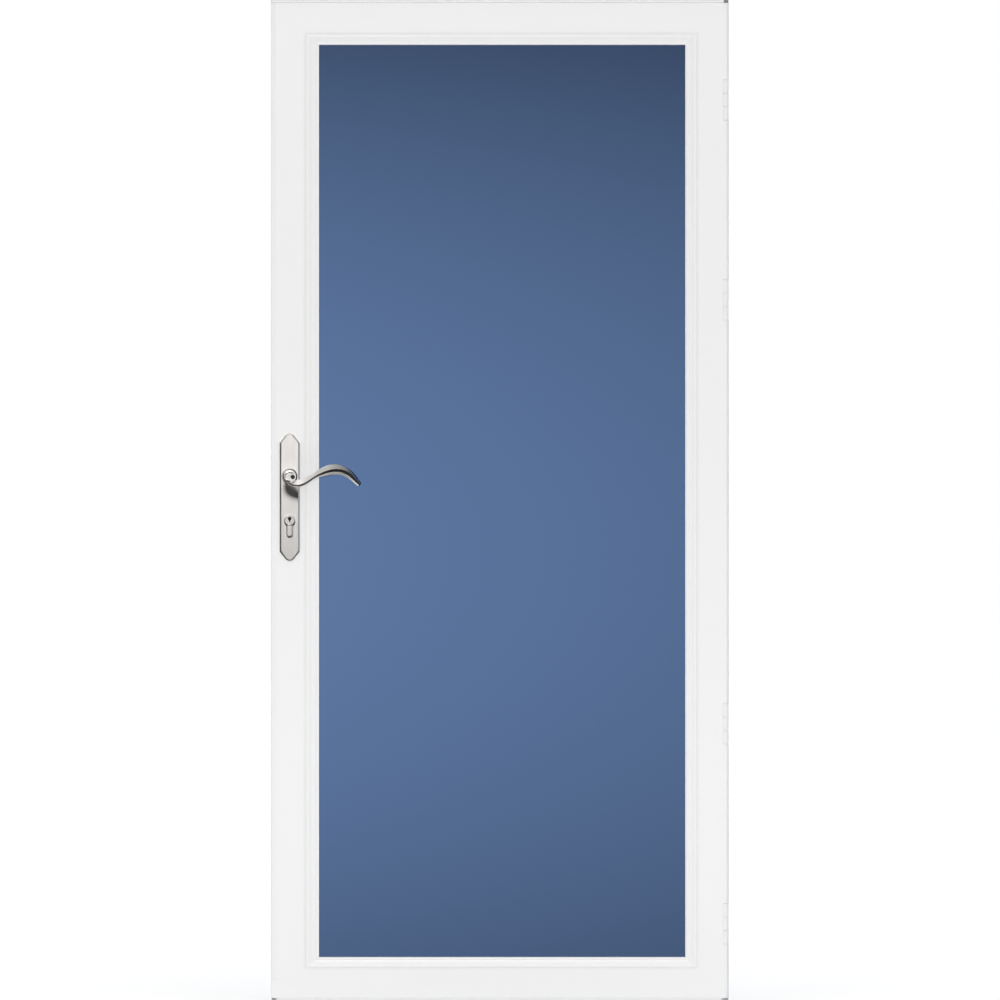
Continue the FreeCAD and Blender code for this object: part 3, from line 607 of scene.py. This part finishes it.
def scroll(name, lever, outward):
    """Curl that winds from the arm round the hub, with a long outer flank and a short inner one."""
    low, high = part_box(lever)
    hub = lever_hub()
    face_y = low.y if outward < 0 else high.y
    bm = bmesh.new()
    verts = []
    for reach, rise in SCROLL_SECTION:
        x = hub.x + math.cos(SCROLL_START) * reach * MM
        z = hub.z + math.sin(SCROLL_START) * reach * MM
        verts.append(bm.verts.new((x, face_y + outward * rise * MM, z)))
    edges = [bm.edges.new(pair) for pair in zip(verts, verts[1:] + verts[:1])]
    bmesh.ops.spin(bm, geom=verts + edges, axis=(0, 1, 0), cent=(hub.x, 0, hub.z), steps=SCROLL_STEPS,
                   angle=SCROLL_TURN)
    for vert in bm.verts:
        angle = math.atan2(vert.co.z - hub.z, vert.co.x - hub.x)
        share = ((SCROLL_START - angle + SCROLL_SLACK) % (2 * math.pi)) / SCROLL_TURN
        swell = min(1.0, SCROLL_ROOT + share * SCROLL_GROW, SCROLL_TAIL + (1.0 - share) * SCROLL_FADE)
        vert.co.y = face_y + (vert.co.y - face_y) * swell
    ends = [edge for edge in bm.edges if edge.is_boundary]
    bmesh.ops.holes_fill(bm, edges=ends, sides=len(SCROLL_SECTION))
    bmesh.ops.recalc_face_normals(bm, faces=bm.faces)
    piece(name, bm, "nickel_level", "lever", 60.0)


NOSE_BACK = 3.0 * MM
DRIP_SEAL_W = 5.0 * MM
DRIP_SEAL_SHORT = 8.5 * MM
DRIP_SEAL_CLEAR = 0.3 * MM
DRIP_SEAL_H = 9.0 * MM
DRIP_SEAL_ROUND = 1.2 * MM


def drip_seal():
    """Soft bulb behind the head bar's nose that closes the gap over the leaf."""
    low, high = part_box("top_rail")
    head_low, head_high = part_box("head_jamb")
    end_x = head_high.x - DRIP_SEAL_SHORT
    size = Vector((end_x - head_low.x, DRIP_SEAL_W, DRIP_SEAL_H))
    middle = Vector(((head_low.x + end_x) / 2, low.y - NOSE_BACK + DRIP_SEAL_W / 2,
                     high.z + DRIP_SEAL_CLEAR + DRIP_SEAL_H / 2))
    bm = bmesh.new()
    bulb = bmesh.ops.create_cube(bm, size=1.0)["verts"]
    bmesh.ops.scale(bm, verts=bulb, vec=size)
    bmesh.ops.translate(bm, verts=bulb, vec=middle)
    long_edges = [edge for edge in bm.edges if edge.calc_length() > size.x / 2]
    lower = [edge for edge in long_edges if edge.verts[0].co.z < middle.z]
    bmesh.ops.bevel(bm, geom=lower, offset=DRIP_SEAL_ROUND, affect="EDGES", segments=4,
                    profile=0.5, material=-1)
    piece("drip_seal", bm, "vinyl", "frame", 50.0)


PAINTED_SHADE_BLACK_SIDES = 24
KEYHOLE_IN = 1.4 * MM
KEYHOLE_T = 1.0 * MM
EYE_R = 3.5 * MM
EYE_UP = 3.4 * MM
SLIT_W = 2.4 * MM
SLIT_FOOT = 2.9 * MM


def keyhole_shade():
    """Dark sheet at the floor of the keyhole, painted shade: a round eye and the slit below it."""
    low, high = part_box("key_cylinder")
    x = (low.x + high.x) / 2
    head_z = high.z - (high.x - low.x) / 2
    y = low.y + KEYHOLE_IN
    bm = bmesh.new()
    bmesh.ops.create_cone(bm, cap_ends=True, segments=PAINTED_SHADE_BLACK_SIDES, radius1=EYE_R, radius2=EYE_R,
                          depth=KEYHOLE_T, matrix=facing((x, y, head_z + EYE_UP), (0, -1, 0)))
    slit = bmesh.ops.create_cube(bm, size=1.0)["verts"]
    slit_h = EYE_UP + SLIT_FOOT
    bmesh.ops.scale(bm, verts=slit, vec=(SLIT_W, KEYHOLE_T, slit_h))
    bmesh.ops.translate(bm, verts=slit, vec=(x, y, head_z + EYE_UP - slit_h / 2))
    piece("keyhole_shade", bm, "painted_shade", "leaf")


PLUG_STEPS = 48
# Radius and height over the key plug's face, in millimetres
PLUG_SECTION = ((7.1, -3.4), (7.1, 0.8), (7.5, 1.2), (9.0, 1.2), (10.9, -0.7), (10.9, -3.4))


def plug_rim():
    """Turned rim round the key plug, with a sloping flank that stands over the stem below it."""
    low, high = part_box("key_cylinder")
    x = (low.x + high.x) / 2
    head_z = high.z - (high.x - low.x) / 2
    bm = bmesh.new()
    verts = [bm.verts.new((x + out * MM, low.y - rise * MM, head_z)) for out, rise in PLUG_SECTION]
    edges = [bm.edges.new(pair) for pair in zip(verts, verts[1:] + verts[:1])]
    bmesh.ops.spin(bm, geom=verts + edges, axis=(0, 1, 0), cent=(x, 0, head_z), steps=PLUG_STEPS,
                   angle=2 * math.pi, use_merge=True)
    bmesh.ops.recalc_face_normals(bm, faces=bm.faces)
    piece("plug_rim", bm, "nickel_upright", "leaf")


SET_SCREW_R = 4.2 * MM
SET_SCREW_IN = 1.2 * MM
SET_SCREW_PROUD = 0.6 * MM
SET_SCREW_RECESS = 0.4 * MM
SET_SCREW_OUT = 7.4 * MM
SET_SCREW_DROP = 1.5 * MM
SET_SCREW_SOCKET = 0.55


def set_screw(name, lever, outward):
    """Socket screw in the dimple of a lever's hub, just proud of the hub's face; its near-black colour is painted
    shade for the dimple.
    """
    low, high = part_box(lever)
    hub = lever_hub()
    face_y = low.y if outward < 0 else high.y
    at = (hub.x + SET_SCREW_OUT, face_y + outward * SET_SCREW_PROUD, hub.z - SET_SCREW_DROP)
    bm = bmesh.new()
    low_ring = Matrix.Translation((0, 0, -SET_SCREW_IN))
    ring = bmesh.ops.create_circle(bm, cap_ends=True, segments=PAINTED_SHADE_BLACK_SIDES, radius=SET_SCREW_R,
                                   matrix=low_ring)["verts"]
    edges = list(dict.fromkeys(edge for vert in ring for edge in vert.link_edges))
    edges = drawn(bm, edges, (0, 0, SET_SCREW_IN))[0]
    edges, inner = drawn(bm, edges, (0, 0, 0))
    bmesh.ops.scale(bm, verts=inner, vec=(SET_SCREW_SOCKET, SET_SCREW_SOCKET, 1.0))
    edges = drawn(bm, edges, (0, 0, -SET_SCREW_RECESS))[0]
    bmesh.ops.holes_fill(bm, edges=edges, sides=PAINTED_SHADE_BLACK_SIDES)
    bmesh.ops.transform(bm, verts=bm.verts, matrix=facing(at, (0, outward, 0)))
    bmesh.ops.recalc_face_normals(bm, faces=bm.faces)
    piece(name, bm, "painted_shade", "lever")


KEY_COLLAR_T = 2.6 * MM
BUSH_BORE = 9.2 * MM
BUSH_T = 3.0 * MM
BUSH_EASE = 0.8 * MM
BUSH_STEPS = 40
OUTSIDE_BUSH_R = 15.4 * MM
INSIDE_BUSH_R = 12.0 * MM


def neck_bush(name, plate, outward, radius):
    """Turned bush on the flat of a handle plate, round the lever's neck; its near-black colour is painted shade
    round the neck.
    """
    low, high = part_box(plate)
    hub = lever_hub()
    # The outside plate's box ends at its key collar
    root = low.y + KEY_COLLAR_T if outward < 0 else high.y
    curve = ((BUSH_BORE, 0.0), (BUSH_BORE, BUSH_T), (radius - BUSH_EASE, BUSH_T),
             (radius, BUSH_T - BUSH_EASE), (radius, 0.0))
    bm = bmesh.new()
    verts = [bm.verts.new((hub.x + out, root + outward * rise, hub.z)) for out, rise in curve]
    edges = [bm.edges.new(pair) for pair in zip(verts, verts[1:] + verts[:1])]
    bmesh.ops.spin(bm, geom=verts + edges, axis=(0, 1, 0), cent=(hub.x, 0, hub.z), steps=BUSH_STEPS,
                   angle=2 * math.pi, use_merge=True)
    bmesh.ops.recalc_face_normals(bm, faces=bm.faces)
    piece(name, bm, "painted_shade", "leaf")


FLOOR_SIZE = 60.0
FLOOR_LIFT = 0.3
FLOOR_PALE = (0.95, 0.95, 0.95, 1.0)
AMBIENT = 0.76
DOOR_X = PHOTO_MIDDLE[0]
CARD_LIFT = 0.003
DARK_CARD = (0.02, 0.02, 0.02, 1.0)
GREY_CARD = (0.08, 0.08, 0.08, 1.0)
PALE_CARD = (0.5, 0.5, 0.5, 1.0)


def plain_plane(name, size, at, turn, finish):
    """A flat piece of the set, which is no part of the door."""
    bm = bmesh.new()
    bmesh.ops.create_grid(bm, x_segments=1, y_segments=1, size=0.5)
    bmesh.ops.scale(bm, verts=bm.verts, vec=(size[0], size[1], 1.0))
    bmesh.ops.rotate(bm, verts=bm.verts, matrix=turn)
    bmesh.ops.translate(bm, verts=bm.verts, vec=at)
    mesh = bpy.data.meshes.new(name)
    bm.to_mesh(mesh)
    bm.free()
    mesh.materials.append(finish)
    made = bpy.data.objects.new(name, mesh)
    bpy.context.collection.objects.link(made)
    return made


def floor_finish():
    """Pale floor that reads white to the camera and keeps the shadow."""
    made = bpy.data.materials.new("floor")
    made.use_nodes = True
    finish = Finish(made.node_tree)
    shader = made.node_tree.nodes["Principled BSDF"]
    seen = finish.node("ShaderNodeLightPath", {}, {}, "Is Camera Ray")
    shader.inputs["Base Color"].default_value = FLOOR_PALE
    shader.inputs["Roughness"].default_value = 1.0
    shader.inputs["Specular IOR Level"].default_value = 0.0
    shader.inputs["Emission Strength"].default_value = 1.0
    finish.join(shader.inputs["Emission Color"], seen * FLOOR_LIFT)
    return made


def card_finish(name, colour):
    """A card's finish, clear to light that a matt surface has already scattered."""
    made = bpy.data.materials.new(name)
    made.use_nodes = True
    shader = made.node_tree.nodes["Principled BSDF"]
    shader.inputs["Base Color"].default_value = colour
    shader.inputs["Roughness"].default_value = 1.0
    shader.inputs["Specular IOR Level"].default_value = 0.0
    finish = Finish(made.node_tree)
    bounces = finish.node("ShaderNodeLightPath", {}, {}, "Diffuse Depth")
    finish.join(shader.inputs["Alpha"], bounces.math("LESS_THAN", 0.5))
    return made


def metal_card(name, size, at, turn, colour):
    """A card that only shows in shiny pieces, like a dark flag beside the set."""
    card = plain_plane(name, size, at, turn, card_finish(name, colour))
    for ray in ("camera", "diffuse", "transmission", "volume_scatter", "shadow"):
        setattr(card, "visible_" + ray, False)


def lamp(name, at, aim, size, power):
    """A flat lamp at a place, aimed at a point."""
    light = bpy.data.lights.new(name, "AREA")
    light.shape = "RECTANGLE"
    light.size, light.size_y = size
    light.energy = power
    made = bpy.data.objects.new(name, light)
    made.location = at
    made.rotation_euler = (Vector(aim) - Vector(at)).to_track_quat("-Z", "Y").to_euler()
    made.visible_transmission = False
    bpy.context.collection.objects.link(made)
    return made


def studio():
    """Pale floor, even light, and cards that only show in the metal."""
    flat = Matrix.Identity(3)
    to_front = Matrix.Rotation(math.radians(90), 3, "X")
    to_side = Matrix.Rotation(math.radians(90), 3, "Y")
    floor = plain_plane("floor", (FLOOR_SIZE, FLOOR_SIZE), (0, 0, 0), flat, floor_finish())
    floor.visible_transmission = False
    metal_card("low_card", (9.0, 5.7), (DOOR_X, 1.65, CARD_LIFT), flat, DARK_CARD)
    metal_card("low_front_card", (3.0, 4.8), (DOOR_X, -3.6, CARD_LIFT), flat, DARK_CARD)
    metal_card("front_card", (9.0, 13.0), (DOOR_X, -6.0, 6.5), to_front, DARK_CARD)
    metal_card("left_card", (3.4, 8.0), (-4.0, -2.0, 1.7), to_side, GREY_CARD)
    metal_card("right_card", (6.5, 2.6), (3.1, -4.7, 3.25), to_side, DARK_CARD)
    metal_card("right_back_card", (6.5, 5.4), (3.1, -0.7, 3.25), to_side, PALE_CARD)
    world = bpy.data.worlds.new("studio")
    bpy.context.scene.world = world
    world.use_nodes = True
    finish = Finish(world.node_tree)
    backdrop = world.node_tree.nodes["Background"]
    seen = finish.node("ShaderNodeLightPath", {}, {}, "Is Camera Ray")
    through = finish.node("ShaderNodeLightPath", {}, {}, "Is Transmission Ray")
    white = (seen + through).clamp()
    finish.join(backdrop.inputs["Color"], AMBIENT + white * (1.0 - AMBIENT))
    key = lamp("key", (DOOR_X, -18.0, 1.2), (DOOR_X, 0.0, 1.0), (3.0, 3.0), 740.0)
    key.visible_glossy = False
    low_fill = lamp("low_fill", (DOOR_X, -1.2, 0.12), (DOOR_X, 0.0, 0.12), (2.0, 0.2), 2.2)
    low_fill.visible_glossy = False
    metal_key = lamp("metal_key", (-1.1, -5.6, 4.28), (-0.88, 0.0, 1.05), (1.4, 1.4), 545.0)
    metal_key.visible_diffuse = False


def camera():
    """The photograph's level view, far enough away to frame its span."""
    made = bpy.data.cameras.new("camera")
    made.lens = LENS
    made.sensor_width = SENSOR
    made.clip_end = VIEW_END
    held = bpy.data.objects.new("camera", made)
    face_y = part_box("latch_stile")[0].y
    distance = PHOTO_SPAN * LENS / SENSOR
    held.location = (PHOTO_MIDDLE[0], face_y - distance, PHOTO_MIDDLE[1])
    held.rotation_euler = (math.radians(90), 0, 0)
    bpy.context.collection.objects.link(held)
    bpy.context.scene.camera = held


camera()
dress_nodes()
hinge_screws()
jamb_screws()
lock_screws()
expander_screws()
pile_strip("latch_pile", "latch_seal", 2)
pile_strip("hinge_pile", "hinge_seal", 2)
pile_strip("head_pile", "head_seal", 0)
sweep()
gaskets()
scroll("outside_scroll", "outside_lever", -1)
scroll("inside_scroll", "inside_lever", 1)
keyhole_shade()
plug_rim()
set_screw("outside_set_screw", "outside_lever", -1)
set_screw("inside_set_screw", "inside_lever", 1)
neck_bush("outside_bush", "outside_escutcheon", -1, OUTSIDE_BUSH_R)
neck_bush("inside_bush", "inside_escutcheon", 1, INSIDE_BUSH_R)
drip_seal()
studio()
bpy.context.scene.view_settings.view_transform = "Standard"
